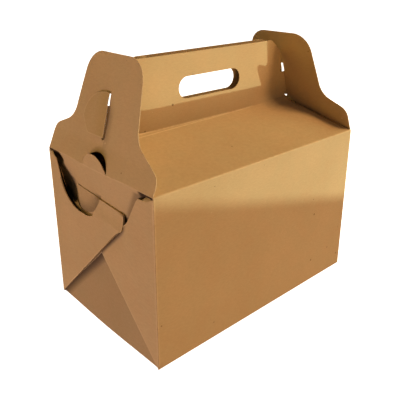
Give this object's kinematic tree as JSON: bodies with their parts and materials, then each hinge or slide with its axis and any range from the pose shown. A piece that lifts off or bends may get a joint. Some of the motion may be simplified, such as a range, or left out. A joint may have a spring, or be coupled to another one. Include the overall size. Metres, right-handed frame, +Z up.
{
  "type": "chicken box",
  "caption": "Folded kraft card carry box with a low gabled roof, an upright hand-hole handle and slotted end ears held by bent lock tabs.",
  "frame": {"origin": "middle of the base, on the surface that the box stands on", "axes": "+Z up, +X along the long walls, -Y out of the front wall"},
  "size_m": [0.2432, 0.149, 0.2349],
  "materials": {
    "kraft_card": "matte uncoated kraft"
  },
  "bodies": {
    "box": {"carton": "kraft_card"},
    "tab_left": {"lock_tab_left": "kraft_card"},
    "tab_right": {"lock_tab_right": "kraft_card"}
  },
  "joints": [
    {"name": "lock_tab_left_fold", "type": "hinge", "parent": "box", "child": "tab_left", "pos_m": [-0.10806, -0.0012, 0.18313], "axis": [0.2588, 0, 0.9659], "range_deg": [0, 80]},
    {"name": "lock_tab_right_fold", "type": "hinge", "parent": "box", "child": "tab_right", "pos_m": [0.10806, -0.0012, 0.18313], "axis": [-0.2588, 0, 0.9659], "range_deg": [0, 80]}
  ]
}
